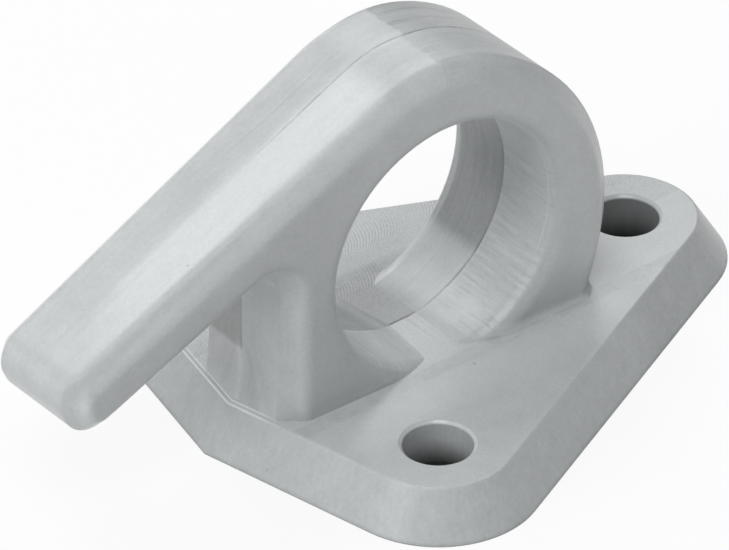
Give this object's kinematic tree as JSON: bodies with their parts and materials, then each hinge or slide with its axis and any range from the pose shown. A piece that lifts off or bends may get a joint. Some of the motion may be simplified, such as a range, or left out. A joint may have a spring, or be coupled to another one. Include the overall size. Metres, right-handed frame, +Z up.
{
  "type": "rope hook",
  "caption": "Moulded deck fitting: a kite-shaped screw-down plate with an upright rope loop and a long sloping arm that a rope hooks under.",
  "frame": {"origin": "on the plate's underside, below the middle of the line that joins the two side screw holes", "axes": "+X from the arm's tip towards the toe of the plate, +Y across the part, +Z up out of the deck"},
  "size_m": [0.0656, 0.044, 0.0297],
  "materials": {
    "body": "satin, light cool grey, fine mould and tool marks"
  },
  "bodies": {
    "root": {"rope_hook": "body"}
  },
  "joints": []
}
